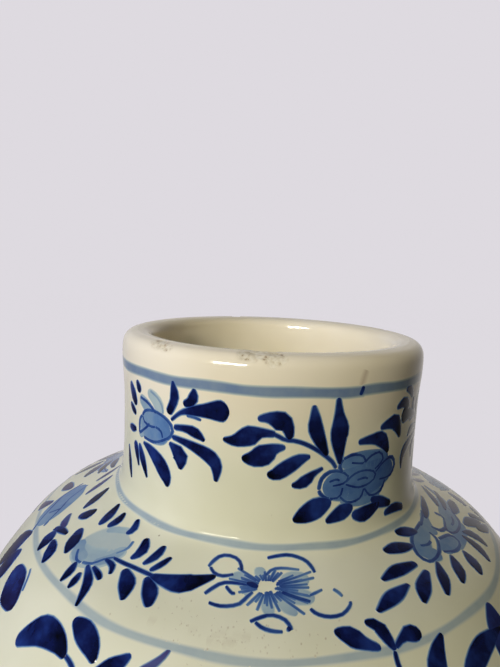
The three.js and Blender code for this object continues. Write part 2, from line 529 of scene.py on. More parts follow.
class Painting:
    """A sheet of brush strokes on the wall, which becomes one piece when it is finished."""

    def __init__(self, name):
        self.name = name
        self.count = 0
        self.bm = bmesh.new()
        self.ink = self.bm.verts.layers.float.new("ink")
        self.iron = self.bm.verts.layers.float.new("iron")

    def brush(self, spot, touches, ink=LEAF_INK, under=0.0, iron=0.0, bleed=BLEED):
        """One stroke. The ink runs from its first to its last value, and under is the ink below it."""
        line = smooth_line(touches, 6)
        widest = max(here.z for here in line) * spot.size
        across_count = 2 * max(3, math.ceil(widest / COLUMN))
        lengths = lengths_of(line)
        length = lengths[-1]
        first_radius = min(line[0].z / 2, length / 2)
        last_radius = min(line[-1].z / 2, length / 2)
        count = max(9, round(length * spot.size / STATION))
        softest = FIRM_FADE if bleed < 1 else SOFT_FADE
        stations = []
        for step in range(count + 1):
            gone = length * (1 - math.cos(math.pi * step / count)) / 2
            here = point_at(line, lengths, gone)
            heading = point_at(line, lengths, gone + 0.1) - point_at(line, lengths, gone - 0.1)
            half = (max(here.z, 0.0) + bleed) / 2
            half *= round_end(gone, first_radius) * round_end(length - gone, last_radius)
            if step in (0, count):
                half = 0.0
            sideways = Vector((-heading.y, heading.x)).normalized() * half
            stations.append((here.xy, sideways, min(softest, bleed / max(half * spot.size, 0.01))))
        self.count += 1
        top_lift = EDGE_LIFT + LIFT_PER_INK * max(ink) + NEXT_LIFT * (self.count % LIFT_STEPS)
        columns = across_count + 3
        grid = bmesh.ops.create_grid(self.bm, x_segments=count, y_segments=columns, size=1)
        for vert in grid["verts"]:
            step = round((vert.co.x + 1) / 2 * count)
            column = round((vert.co.y + 1) / 2 * columns) % columns
            middle, sideways, soft = stations[step]
            on_top = column <= across_count
            across = 2 * column / across_count - 1 if on_top else (1, -1)[column - across_count - 1]
            edge = abs(across) > 0.99 or step in (0, count)
            if not edge:
                across *= (1 - soft) * across_count / (across_count - 2)
            place = middle + sideways * across
            part = step / count
            vert[self.ink] = under if edge else ink[0] + (ink[1] - ink[0]) * part
            vert[self.iron] = 0.0 if edge else iron
            lift = EDGE_LIFT if edge else top_lift
            vert.co = on_wall(spot, place.x, place.y, lift if on_top else SUNK)

    def leaves(self, spot, *strokes, ink=LEAF_INK, fuller=1.12, iron=0.0):
        """Several full strokes with the same load of ink."""
        for touches in strokes:
            touches = [(right, up, wide * fuller) for right, up, wide in touches]
            self.brush(spot, touches, ink, EDGE_INK, iron)

    def line(self, spot, points, width=0.7, ink=LINE_INK, under=0.0):
        """A thin line of even width that is a little finer at its ends."""
        widths = [0.8 * width] + [width] * (len(points) - 2) + [0.6 * width]
        self.brush(spot, [(*point, wide) for point, wide in zip(points, widths)], ink, under)

    def lines(self, spot, *outlines, width=0.7, ink=LINE_INK, under=0.0):
        """Several thin lines."""
        for points in outlines:
            self.line(spot, points, width, ink, under)

    def finish(self):
        """Closes every stroke along its side and at its ends, and makes the piece."""
        bmesh.ops.remove_doubles(self.bm, verts=self.bm.verts, dist=0.0003 * MM)
        bmesh.ops.dissolve_degenerate(self.bm, edges=self.bm.edges, dist=0.0002 * MM)
        bmesh.ops.recalc_face_normals(self.bm, faces=self.bm.faces)
        print(f"{self.name}: {self.count} strokes")
        make_piece(self.name, self.bm, cobalt_glaze, "cobalt")


print(f"the brush bleeds {BLEED} mm and is read every {STATION} mm")

# %% [markdown]
# Horizontal lines are drawn with the jar turning on a banding wheel and the brush held still. The line
# wanders a little, and where it meets its own start the two ends overlap in a small dark blot.

# %% Draw the blue lines round the jar
# Thinned cobalt fires a little grey, which a touch of iron gives.
GREYING = 0.13
# The ends of a line overlap by this much.
OVERLAP = 1.5


def banded_line(name, distance, width, ink, start_angle, wander=0.12):
    """A line all the way round, with a slight wander and an overlap where it meets itself."""
    painting = Painting(name)
    radius = point_at(outside, outside_lengths, neck_foot_length - distance).x
    turns = 48
    full = 2 * math.pi * radius + OVERLAP
    touches = []
    for step in range(turns + 1):
        sway = math.sin(step * 1.7) + 0.6 * math.sin(step * 0.61 + 1)
        touches.append((full * step / turns, sway * wander, width * (1 + 0.05 * math.sin(step * 2.3))))
    painting.brush(Spot(start_angle, distance), touches, ink, iron=GREYING, bleed=0.7)
    blot = Spot(start_angle + 1, distance)
    blot_ink = (ink[1] + 0.44, ink[1] + 0.34)
    painting.brush(blot, [(0.3, 1, 0.6), (0, 0, 1), (-0.4, -0.9, 0.6)], blot_ink, ink[0])
    painting.finish()


banded_line("line_under_lip", 30.8, 2.0, (0.33, 0.36), 33)
banded_line("line_at_neck_foot", -0.3, 1.2, (0.20, 0.22), 120)
banded_line("line_under_shoulder", -21.2, 1.3, (0.16, 0.18), 150, 0.2)
banded_line("line_above_foot", -182, 1.6, (0.26, 0.30), 60, 0.2)
banded_line("line_at_foot", -189, 1.2, (0.22, 0.26), 200, 0.2)

# %% [markdown]
# On the neck, a small aster and a peony on a bent stem take turns. Each flower is built from the back
# forwards: pale wash first, then the thin outlines of the petals, then the dark leaves, which go on last
# with a full brush. A leaf begins as a hair where it leaves the stem, swells as the brush is pressed down,
# and ends where the brush lifts off, which leaves its darkest pool there.

# %% Learn the aster of the neck
PALE_WASH = (0.24, 0.30)


def neck_aster(painting, spot):
    """A small round flower with one long drop-shaped leaf and a fan of leaves under it."""
    painting.brush(spot, [(4, 8, 2), (7, 6.5, 3.4), (8.5, 4, 3)], (0.16, 0.20))
    painting.brush(spot, [(0.5, 6, 2), (3.5, 4.5, 3), (5.5, 3, 3)], PALE_WASH, 0.14)
    painting.brush(spot, [(0.8, 0.2, 4.6), (6, 0.5, 7.2), (11.3, 0.7, 5.6)], (0.28, 0.50), 0.18)
    painting.brush(spot, [(0, -2.6, 1.6), (2.4, -1, 2.2), (4, 0.4, 1.6)], PALE_WASH, 0.3)
    painting.lines(
        spot,
        [(1.6, 2), (3.2, 3.5), (6.6, 4), (9.8, 3.2), (11.7, 1.7), (11.5, 0), (9.4, -1.5), (6.2, -2.7),
         (2.3, -2.6)], [(1.8, 2), (2.5, 0.8), (5.2, 0.4), (6.6, 0.7)], [(0.3, -2.3), (3.6, 0), (4.5, 1)],
        [(0.7, 6), (3.5, 5.5), (5.4, 4.6), (6.8, 3.6)], [(1.6, 2), (0.4, 0.6), (0.3, -2.3)],
        [(6.6, 0.7), (8.4, 0.2), (9, -1.2)], width=0.65, ink=(0.60, 0.66), under=0.36)
    painting.line(spot, [(5, 8.3), (7.5, 7.2), (8.8, 5.7), (9, 4)], 0.5, (0.30, 0.34), 0.14)
    painting.line(spot, [(15.4, 5), (17, 5), (19, 4.6)], 0.7, (0.55, 0.60))
    painting.leaves(
        spot, [(12.2, 11.8, 0.6), (12.6, 9, 2), (12.2, 7.2, 1.8), (10.6, 4.4, 1.5)],
        [(17.5, 11, 0.4), (17.4, 9.4, 1.9), (16.6, 8, 1.8), (14.7, 7.2, 1.1)],
        [(11.4, 3.2, 0.5), (14, 5.3, 0.8), (17, 6.2, 1.8), (20, 6.7, 2.6), (23.3, 7.1, 4),
         (25, 7.2, 3.6)], [(12.1, 1.9, 1), (15, 2.2, 1.3), (17.6, 1.8, 2), (19.8, 0.4, 0.4)],
        [(11.7, -0.2, 0.9), (14.8, -0.6, 1.3), (18, -1.4, 2), (21, -2.6, 2.7), (22.4, -4.4, 2.2),
         (22.4, -7.6, 0.5)], [(10.9, -1.6, 0.5), (12.8, -2.8, 2.4), (14, -4, 3.5), (14.1, -6.8, 0.5)],
        [(2, -3.9, 0.4), (5, -4.9, 2.2), (8.3, -7, 3.4), (10.2, -9.3, 2.8), (10.8, -11.4, 0.6)],
        [(0.2, -4.6, 0.8), (1.8, -7.7, 2.2), (4, -11.5, 0.4)],
        [(-2, -4.6, 1.6), (-1.1, -6.7, 2), (0.2, -10, 0.4)],
        [(-6.2, -6.8, 0.7), (-4.9, -10.7, 1.8), (-3.2, -14, 0.5)],
        [(-4.4, 8.6, 1), (-3, 6, 2.8), (-1.2, 3.6, 1.2)],
        [(-0.6, 9.6, 0.8), (0.2, 8.1, 1.9), (0.6, 6.8, 1)],
        [(-5, 3.4, 0.8), (-3.2, 2.4, 1.6), (-1.4, 1.6, 0.8)],
        [(-5.6, -2.4, 0.8), (-3.6, -2.2, 1.6), (-1.2, -1.8, 0.7)])


print("the neck's aster is learnt")

# %% [markdown]
# The peony is the large flower that such jars are known for. Its petals are loops of one thin line over a
# fuller wash, and its stem bends away from it. Each leaf is one press of the brush, so it is one stroke
# here too. Both motifs are functions, so that the other side of the neck can carry them again.

# %% Paint the neck
def neck_peony(painting, spot):
    """A peony whose petals open to the right, with leaves on a stem that bends to the left."""
    painting.brush(
        spot, [(5, -6.5, 4.6), (9, -6.6, 6.6), (14, -6.4, 7.6), (19, -5.6, 7), (24, -5, 4)], (0.48, 0.54))
    painting.brush(spot, [(9, -2.4, 2.4), (13, -1.6, 3), (18, -2.4, 4), (22, -3, 3)], (0.44, 0.50), 0.38)
    painting.brush(spot, [(9, -9, 2.4), (14, -10, 3), (20, -9.4, 3)], (0.40, 0.46), 0.38)
    painting.lines(
        spot, [(4.3, -7.1), (4.8, -4.8), (6.6, -3.5), (9.2, -3.8), (10.8, -5), (9.8, -6.2), (7.2, -6.5)],
        [(9.6, -7), (9, -8.9), (6.9, -9.1), (5, -8.3), (4.3, -7.1)],
        [(10.2, -6.1), (12.2, -4.6), (15, -4.2), (18, -5.2), (17.3, -6.9), (13.6, -7.6), (10.2, -6.5)],
        [(9.4, -1.2), (11.6, -0.5), (14.1, -1), (14.8, -2.6), (11.3, -2.1)],
        [(9.4, -1.2), (8.6, -2.6), (9.4, -3.8)],
        [(14.8, -2.6), (16.3, -1.4), (19, -1), (20.2, -2.8), (17.7, -4.5)],
        [(18, -5.2), (20.6, -3.4), (23.4, -3), (24.8, -5), (23, -7), (19.4, -7)],
        [(9, -8.9), (11, -10.4), (14, -10), (15, -8)], [(15, -8), (17, -10), (20, -9.6), (21.4, -7.4)],
        [(6.4, -5.6), (8, -5.2), (8.8, -5.6)], [(13, -6), (15, -5.8), (16, -6.2)], width=0.6,
        ink=(0.68, 0.72), under=0.44)
    painting.line(
        spot,
        [(7.8, -2.9), (6.7, -1.3), (4.2, 0.7), (1.4, 2.3), (-1, 3.1), (-3, 3.3), (-5.2, 4.3),
         (-7.7, 4.5)], 0.85, (0.72, 0.80))
    painting.leaves(
        spot,
        [(-4.8, 4.3, 1.1), (-7.7, 4.5, 1.8), (-9.8, 3.8, 3.6), (-12.7, 2.5, 2.2), (-15.3, 2.5, 0.5)],
        [(-8.6, 7.2, 0.9), (-6.4, 7.6, 2), (-4, 7, 3.6), (-2.6, 5.7, 2.2), (-2.1, 3.3, 1.1)],
        [(-2.8, 1.8, 0.8), (-5, 1.4, 2), (-6.8, 0.2, 3.8), (-9, -0.8, 3), (-11.4, -0.9, 0.8)],
        [(2.2, 0, 0.5), (0, -0.7, 2.1), (-2.4, -2.3, 2.7), (-4.5, -3.7, 2.3), (-6.3, -3.8, 0.8)],
        [(5, -2.5, 0.5), (2.9, -3.7, 1.2), (1.5, -5, 2.2), (0, -5.8, 1.6), (-1.4, -5.9, 0.5)],
        [(2.2, 10.4, 0.6), (2.6, 7.9, 1.9), (2.9, 5.6, 2.7), (4, 3, 2.2), (5.6, -0.1, 0.8)],
        [(7.2, 11.8, 0.8), (7.6, 8.5, 1.8), (8.1, 5.4, 3.5), (8, 2.8, 3), (8.6, -2.1, 0.7)],
        [(7.2, -9.6, 1.2), (4.4, -10.6, 3.8), (1.6, -12, 3.2), (-0.8, -13.2, 0.7)],
        [(12.4, -11.4, 1.3), (9.7, -12.2, 3.1), (6, -13.8, 0.8)],
        [(12, -13, 1.2), (15.5, -13.5, 3), (20, -12.2, 1.2)],
        [(17, -10.6, 1), (20, -12, 2.2), (24, -13.4, 1)],
        [(21.5, -15, 1), (25.5, -14.8, 1.8), (30, -16, 1)],
        [(12.6, 2, 0.9), (16.5, 2.2, 2), (19.4, 1.6, 3), (21.8, -1.6, 0.8)],
        [(18.5, 4.2, 0.8), (21.7, 4.8, 2.3), (24.2, 4.4, 3.2), (26.4, 0.8, 0.8)],
        [(23.7, 7.7, 0.8), (27, 8.6, 2.2), (30, 6.8, 1.6)],
        [(27, 11.4, 0.6), (29.6, 11, 1.8), (32, 8.8, 0.8)])


on_neck = Painting("flowers_on_neck")
for turn in (0, 180):
    neck_aster(on_neck, Spot(turn - 45, 19))
    neck_peony(on_neck, Spot(turn + 15, 18))
for turn in (88, 268):
    neck_aster(on_neck, Spot(turn, 17.5, 0.85, -1))
on_neck.finish()

# %% [markdown]
# The band on the shoulder carries a bow or insect drawn all in thin lines, with a round flower to each
# side. The lines are quick and open, and they only suggest the loops.

# %% Learn the bow of the shoulder
Fan = namedtuple("Fan", "first last count inner outer")
BOW_FANS = [Fan(-44, 28, 13, 1.7, 8.8), Fan(50, 130, 8, 1.3, 4.2), Fan(146, 206, 10, 1.5, 6.6),
            Fan(236, 306, 9, 1.4, 6.6)]


def shoulder_bow(painting, spot):
    """Five open loops round a bare centre, with fans of quick dashes between them."""
    wash = (0.20, 0.26)
    painting.brush(spot, [(-1.6, 1, 1.6), (-4, 1.8, 3.2), (-6.4, 2, 2)], wash)
    painting.brush(spot, [(-0.6, 2.4, 1.2), (-0.8, 3.6, 2.6), (-0.4, 4.6, 1.6)], wash)
    painting.brush(spot, [(2.6, 2, 2), (5.2, 2, 4), (8.4, 2.2, 2.4)], wash)
    painting.brush(spot, [(3, -0.4, 2), (6, -1, 3.4), (9.2, -1.8, 2)], wash)
    painting.brush(spot, [(-0.2, -1.4, 1), (0.6, -3.2, 2.4), (1, -5, 1.2)], wash)
    painting.brush(spot, [(2, -1.4, 1.2), (4.2, -3.2, 2.4), (5.8, -4.6, 0.8)], wash)
    painting.brush(spot, [(-2.6, -0.4, 1.4), (-3.8, -1, 2)], wash)
    dice = random.Random(11)
    for fan in BOW_FANS:
        for step in range(fan.count):
            angle = fan.first + (fan.last - fan.first) * step / (fan.count - 1)
            turn = math.radians(angle + dice.uniform(-3, 3))
            out = Vector((math.cos(turn), 0.8 * math.sin(turn)))
            inner = fan.inner * dice.uniform(0.8, 1.5)
            outer = fan.outer * dice.uniform(0.66, 1.12)
            points = [Vector((0.4, 0.8)) + out * reach for reach in (inner, (inner + outer) / 2, outer)]
            painting.line(spot, points, dice.uniform(0.26, 0.42), (0.68, 0.48), 0.2)
    painting.lines(
        spot, [(-4.4, 3.4), (-4.8, 5.3), (-6.3, 6.3), (-8.5, 6.1), (-10, 4.7), (-10.9, 3.2)],
        [(-10.5, 3.4), (-9.7, 2.3), (-8.1, 1.9), (-5.8, 2.6)],
        [(-11, -2.2), (-9.6, -0.8), (-7.9, 0.5), (-5.7, 0.9), (-2.8, 0.7)],
        [(-7.2, 0.1), (-6, -1.1), (-5.3, -1)],
        [(-10.1, -3.6), (-8.2, -3.9), (-6, -3.6), (-4.3, -2.9), (-3.3, -1.7), (-2.1, -0.4)],
        [(0.3, 6.6), (2.6, 7.2), (4.9, 7.3), (7.5, 6.3), (8.8, 4.9), (9.5, 3.4)],
        [(8.1, -3.4), (9.3, -4.5), (11.5, -5.2), (14, -5), (15.6, -3.7), (15.8, -2.8)],
        [(-2.5, -6.1), (-0.8, -5.2), (1.2, -4.6), (3.3, -5.2), (4.4, -6.4), (4.7, -7.3)],
        [(-1.6, -6), (-0.4, -6.9), (1.3, -7.4), (3.3, -7.5)], width=0.62, ink=(0.74, 0.66))
    painting.lines(
        spot, [(0.1, 2.9), (1.4, 4.3), (3.6, 4.6), (6.6, 4.2)], [(8.2, -1), (9.2, -0.6), (10.7, 0)],
        [(12.7, -0.1), (13.8, -1), (14.4, -1.8)], width=0.5, ink=(0.62, 0.50))
    painting.brush(spot, [(-3.4, 1.1, 0.9), (-2.2, 0.9, 1.4), (-1.2, 0.5, 1)], (0.80, 0.90))
    painting.brush(spot, [(3, -0.2, 0.9), (5.2, -1.1, 0.9), (8.4, -2.2, 0.6)], (0.82, 0.66))
    painting.brush(spot, [(4, -6.6, 0.9), (4.6, -7.3, 1.2)], (0.82, 0.86))


print(f"the shoulder's bow is learnt, with {len(BOW_FANS)} fans of dashes")

# %% [markdown]
# Two flowers stand beside the bow. The aster is a pale disc with hardly an outline, so its washes overlap
# softly, and the peony is drawn like the neck's but wider. Their small leaves point away all round. A dash
# of iron in the far leaves gives the purple cast of cobalt that was ground with a little manganese.

# %% Paint the shoulder
def shoulder_aster(painting, spot):
    """A pale disc in a ring of leaves, with a branch that runs right to one long leaf."""
    painting.brush(
        spot, [(-6, -4.6, 5), (-1.5, -0.8, 9.6), (2, 1.7, 9), (4, 3.6, 4)], (0.16, 0.13), iron=0.08,
        bleed=0.8)
    painting.brush(
        spot, [(-6, -3.4, 3), (-2, -3.8, 4.4), (2.6, -1.6, 4), (4.4, 2.2, 2)], (0.22, 0.24), 0.15,
        bleed=1.5)
    painting.brush(spot, [(-6.6, -2, 2), (-4.4, -4.4, 3.2), (-0.6, -4.6, 3)], (0.34, 0.26), 0.16)
    painting.brush(spot, [(1.6, -4.2, 2), (3.8, -1.4, 2.4), (4.8, 1.6, 1.6)], (0.34, 0.26), 0.16)
    painting.brush(spot, [(-4, 2.4, 1.4), (-1.6, 4, 1.8), (2, 5.4, 1.4)], (0.26, 0.22), 0.14)
    painting.lines(
        spot, [(-0.7, -5.2), (1.6, -4.3), (3, -2.1), (4.6, -0.6)], [(-5, -4), (-2.6, -5.6), (-0.7, -5.4)],
        width=0.6, ink=(0.56, 0.60), under=0.28)
    painting.line(spot, [(3.8, 0), (4.9, 2), (4.4, 4)], 0.5, (0.44, 0.48), 0.2)
    painting.brush(spot, [(-24.6, -10, 7), (-28.4, -5.8, 10), (-31, -1.8, 9.6), (-32, 0.4, 8)], (0.34, 0.46))
    painting.lines(
        spot, [(-23, -9), (-26, -5), (-29, -3), (-31, 1)], [(-26, -12), (-30, -8), (-34, -5), (-35, -1)],
        [(-26, -5), (-28, -8)], width=0.7, ink=(0.58, 0.62), under=0.46)
    painting.line(spot, [(4.4, -0.9), (7.2, -0.8), (10, -0.6), (14, -0.6), (16.5, -0.7)], 0.85, (0.74, 0.82))
    painting.leaves(
        spot,
        [(14.4, -0.7, 0.9), (18.5, -0.5, 2.8), (21.6, -0.1, 3.8), (23.6, 1.3, 2.4), (25.4, 2.7, 0.9)],
        [(8.7, -1.6, 1), (12.2, -4, 2.7), (14.5, -7, 0.6)],
        [(14, -1.2, 0.8), (17.4, -3.7, 2.4), (19.8, -6.4, 0.9)],
        [(7.7, 0.5, 0.8), (8.2, 3, 2.1), (6.2, 5.9, 0.9)],
        [(11, 0.6, 0.7), (11.7, 3.2, 1.8), (11.1, 6, 0.8)],
        [(13.4, 0, 0.9), (14.2, 2, 1.4), (14.6, 4.2, 0.7)],
        [(1, 4.4, 0.9), (1.6, 6, 1.7), (0.1, 8.4, 0.8)], [(-5, 3, 1), (-4.2, 5.4, 2.1), (-4.8, 7.8, 0.8)],
        [(-7.5, 1.9, 1.1), (-7.9, 4.9, 2.5), (-9.1, 8.2, 0.8)],
        [(-18.2, 0.4, 0.7), (-18.8, 3.5, 2.8), (-19.6, 7.4, 1)],
        [(-16.4, -0.8, 1), (-14.1, 1.2, 2.6), (-13.3, 3.4, 0.8)],
        [(-11, -1.2, 1.4), (-8.3, -4.1, 3.2), (-6.5, -6.6, 0.6)],
        [(-1.9, -5.9, 0.8), (-0.9, -8, 1.9), (-0.8, -10.4, 0.5)],
        [(1.5, -6.7, 0.7), (2.2, -8.6, 1.6), (2.3, -10.3, 0.5)],
        [(1.1, -4.9, 0.7), (5.3, -7.6, 1.8), (7.3, -11.7, 0.6)],
        [(2.5, -4.5, 0.7), (5.3, -5.1, 1.1), (6.8, -5.8, 0.7)],
        [(3.1, -2, 0.7), (5.9, -2.3, 1.1), (7.4, -4, 0.5)],
        [(-16.8, -6.2, 1.2), (-16, -8.4, 3.5), (-15.2, -11.2, 0.8)],
        [(-14.2, -7.3, 0.7), (-11, -8.8, 3), (-9.8, -11.2, 0.9)],
        [(-18.3, -6.7, 0.8), (-16, -5.3, 1.6), (-12.4, -4.3, 0.7)])
    painting.leaves(
        spot, [(-20, -2.4, 0.8), (-18, -4, 2), (-15.4, -4.4, 0.9)],
        [(-25, 1, 0.8), (-25.6, 4.6, 2), (-26.4, 8, 0.8)], [(-30, 3, 0.8), (-30.6, 6, 2), (-31, 9, 0.8)],
        [(-36, -4, 0.8), (-40, -6, 2.4), (-44, -7, 0.8)],
        [(-34, -8, 0.8), (-37, -11, 2.4), (-41, -12.4, 0.8)], ink=(0.66, 0.82), iron=0.12)


def shoulder_peony(painting, spot):
    """A wide peony with a bare heart and a fan of leaves all round its lower side."""
    painting.brush(spot, [(3.2, 4.4, 2.4), (-2, 3.4, 4.4), (-5.6, 0.6, 4.4), (-2, -1.2, 3)], (0.36, 0.42))
    painting.brush(spot, [(-0.8, -1.4, 2.4), (3, -1.4, 3.6), (6.6, -2, 2.6)], (0.42, 0.46), 0.36)
    painting.brush(spot, [(8.6, -0.4, 2.4), (13, -0.6, 3.4), (19.8, -0.4, 2.4)], (0.38, 0.44), 0.34)
    painting.brush(spot, [(7.6, 6, 1.8), (4.6, 4.4, 2.6), (2.8, 1.6, 2.4)], (0.36, 0.42), 0.34)
    painting.brush(spot, [(4, -3, 2.4), (11, -3, 3), (17, -3, 2)], (0.40, 0.44), 0.36)
    painting.brush(
        spot, [(13, 1.4, 2), (19.6, 0.6, 3.6), (25, 0.6, 2.8), (27.6, 4, 1.6)], (0.36, 0.42), 0.34)
    painting.lines(
        spot, [(3.3, 5.6), (-3.8, 4.8), (-7.5, 1.6), (-6.9, -1), (-2.5, -1), (1.4, 0.8), (2, 3.1)],
        [(2.2, 0.7), (7.1, -1), (6.8, -3.3), (2.7, -3.2), (-0.8, -1.4)],
        [(20.6, 0.3), (19.8, -1.5), (16.1, -2.8), (9.9, -1.9), (8.1, 0.1), (12.1, 1.1)],
        [(2, 5.2), (5.6, 5.8), (8.4, 6.6)], [(4.6, 3.4), (6, 1.2), (9, 0.4)],
        [(12, 3.6), (13, 1.8), (12.1, 1.1)], [(20.6, 0.3), (24, 1.2), (28, 4)],
        [(-4.6, 2.4), (-2.4, 1.6), (-0.6, 1.8)], [(12, -0.8), (14.6, -1.2), (17, -0.8)], width=0.7,
        ink=(0.62, 0.68), under=0.38)
    painting.leaves(
        spot, [(-0.7, 5, 0.9), (-3.7, 6.2, 2.4), (-7, 7.3, 1)],
        [(-6.1, 3.3, 0.9), (-10, 4.4, 2.6), (-14, 4.8, 1)],
        [(-10.2, 0.1, 1), (-15.5, 0.4, 2.3), (-20.8, -0.4, 0.6)],
        [(-16.7, -2.7, 0.5), (-22.2, -3.9, 2.3), (-28, -5.8, 0.5)],
        [(-9.8, -2, 0.9), (-14.9, -4.5, 2.5), (-18.2, -7, 0.5)],
        [(-5.3, -1.8, 0.5), (-8.4, -4.8, 2.2), (-12.1, -7.8, 0.6)],
        [(0, -2.8, 0.5), (-2.7, -5.6, 2.5), (-5.9, -7.9, 0.5)],
        [(4.6, -4.3, 0.6), (3.2, -7.2, 3), (1.1, -9.6, 0.6)],
        [(10.6, -3.2, 0.7), (10.5, -7, 2.8), (8.4, -10.4, 0.7)],
        [(12.3, -3.4, 0.6), (15, -6.5, 3), (14.3, -9.6, 0.8)],
        [(17, -4, 0.7), (22, -6.4, 2.8), (27, -9.4, 0.7)],
        [(6.2, 5.2, 0.8), (10.2, 6, 1.9), (16.4, 6.8, 0.6)],
        [(17.1, 2.6, 0.7), (21.2, 3.6, 2.2), (25.5, 5.2, 0.7)],
        [(19.6, -1.6, 0.7), (24.5, -2.4, 2.6), (30, -3.6, 0.7)],
        [(18, 0.8, 0.7), (23.5, 0.8, 2), (28.5, 1.2, 0.7)])


on_shoulder = Painting("flowers_on_shoulder")
for turn in (0, 180):
    shoulder_bow(on_shoulder, Spot(turn + 6, -9))
    shoulder_aster(on_shoulder, Spot(turn - 38, -10))
    shoulder_peony(on_shoulder, Spot(turn + 60, -9))
shoulder_bow(on_shoulder, Spot(122, -10, 1, -1))
on_shoulder.finish()

# %% [markdown]
# Below the second line the drawing grows with the belly: sprigs of broad leaves hang between large
# flowers. A few leaves cross the line, because the painter drew the line first.

# %% Paint the belly
def belly_sprig(painting, spot):
    """A short branch with broad leaves to both sides."""
    painting.line(spot, [(-6.3, 2.7), (-6.8, 0.3), (-6.2, -3), (-4, -7)], 0.9, (0.78, 0.84))
    painting.line(spot, [(-6.4, -2), (-3, -4.6), (2, -5.4), (8, -5)], 0.8, (0.74, 0.80))
    painting.leaves(
        spot, [(-8.4, 3.5, 1), (-10.6, 4.5, 2), (-12.6, 6, 3.4), (-15.2, 7.2, 0.9)],
        [(-6.1, 2.6, 0.9), (-6.6, 5, 2), (-7, 7, 2.3), (-9, 8, 0.8)],
        [(-5.9, 3, 0.8), (-3.8, 4.1, 1.2), (-1.6, 4.4, 2.7), (0.4, 3.7, 1.4)],
        [(-0.4, -5, 0.8), (0.2, -2, 3.6), (2, 0.6, 2.6), (4.5, 2.7, 0.6)],
        [(5, -5.2, 0.8), (8, -4, 3.4), (13, -2.5, 3.5), (20.7, -2.3, 0.6)],
        [(-6, -4, 0.8), (-9, -6, 3), (-14, -7, 3.4), (-18, -6, 0.8)],
        [(-4, -7, 0.8), (-6, -11, 3.2), (-10, -15, 0.8)], [(1, -6, 0.8), (2.6, -10, 3.4), (1, -15, 0.8)],
        [(7, -5.6, 0.8), (11, -9, 3.6), (15, -14, 0.9)])


def belly_leaves(painting, spot):
    """Three broad leaves on one stem."""
    painting.line(spot, [(2.6, -0.5), (5.4, -1.3), (8, -3.4), (9.6, -7)], 0.9, (0.78, 0.84))
    painting.leaves(
        spot, [(3.2, -0.9, 1), (-0.2, 0.4, 3.4), (-4.6, 0.2, 4.6), (-8, -2.2, 3.4), (-10.6, -4.8, 1.6)],
        [(9.3, 0.6, 0.8), (7.1, 2.6, 3), (3.7, 4, 3.4), (0.5, 4.6, 0.9)],
        [(9.6, -1, 0.8), (12.6, 1, 3), (15, 4, 0.8)], [(8.6, -5, 0.8), (4, -6, 3.8), (-1, -9, 0.9)],
        [(9.4, -6, 0.8), (14, -7, 3.8), (19, -10, 0.9)], ink=(1.0, 0.74))


def belly_tips(painting, spot):
    """Two leaves that reach up from a branch further down, and a thin one beside them."""
    painting.leaves(spot, [(-17, -6, 2.6), (-13.6, 1, 5.6), (-10.6, 6, 1)],
                    [(-12.4, -8.4, 2.6), (-9.6, -2, 5.2), (-7.4, 3, 1.2)],
                    [(7, -2.4, 2), (1.4, -0.6, 7.2), (-3.8, 1, 3)],
                    ink=(0.94, 0.72), iron=0.03)
    painting.line(spot, [(6, 1), (4, 3.4), (2.4, 4.4)], 0.6, (0.60, 0.50))
    painting.leaves(spot, [(41, 1.4, 2), (42.6, 4.4, 1.3), (42.8, 6.4, 0.6)], ink=(0.60, 0.66), iron=0.2)


def belly_peony(painting, spot):
    """A large peony with two rows of petals and a ring of leaves."""
    petals = 7
    for petal in range(petals):
        turn = 2 * math.pi * petal / petals + 0.3
        out = Vector((math.cos(turn), math.sin(turn)))
        side = Vector((-out.y, out.x))
        touches = [(*(out * 3), 3), (*(out * 6.5), 5.4), (*(out * 9.5), 4)]
        painting.brush(spot, touches, (0.34, 0.48))
        rim = [out * 3 - side * 1.6, out * 7 - side * 3.6, out * 10.4 - side * 2, out * 11 + side * 0.4,
               out * 10 + side * 2.6, out * 6.6 + side * 3.4, out * 3 + side * 1.4]
        painting.line(spot, rim, 0.75, (0.70, 0.66), 0.38)
        painting.line(spot, [out * 5, out * 7, out * 8.6 + side * 0.6], 0.55, (0.58, 0.54), 0.42)
        tip = out * 19 + side * 3
        belly, neck = out * 14.5 + side, out * 17 + side * 2
        painting.brush(spot, [(*(out * 11.5), 0.8), (*belly, 3.6), (*neck, 2.6), (*tip, 0.8)])
    painting.brush(spot, [(-2.2, 0, 2.4), (0, 0.3, 4.4), (2.2, 0, 2.4)], (0.52, 0.60))
    painting.lines(spot, [(-2, 1), (0, 1.8), (2, 1)], [(-2, -1), (0, -1.8), (2, -1)], [(-0.8, 0), (0.8, 0)],
                   width=0.5, ink=(0.76, 0.80), under=0.54)


on_belly = Painting("flowers_on_belly")
for turn in (35, 97, 158, 215, 262):
    belly_sprig(on_belly, Spot(turn, -24))
for turn in (-30, 128, 186):
    belly_leaves(on_belly, Spot(turn, -28))
for turn in (-52, 66):
    belly_tips(on_belly, Spot(turn, -28))
for turn in (2, 92, 182, 272):
    belly_peony(on_belly, Spot(turn, -62, 1.15))
    belly_sprig(on_belly, Spot(turn + 45, -66, 1.4, -1))
    belly_leaves(on_belly, Spot(turn + 20, -94, 1.4))
    belly_leaves(on_belly, Spot(turn - 20, -94, 1.4, -1))
on_belly.finish()

on_lower_belly = Painting("flowers_on_lower_belly")
for turn in (0, 90, 180, 270):
    belly_peony(on_lower_belly, Spot(turn + 47, -118, 1.1))
    belly_sprig(on_lower_belly, Spot(turn + 5, -124, 1.3))
    belly_leaves(on_lower_belly, Spot(turn + 28, -152, 1.2))
    belly_leaves(on_lower_belly, Spot(turn + 68, -152, 1.2, -1))
on_lower_belly.finish()

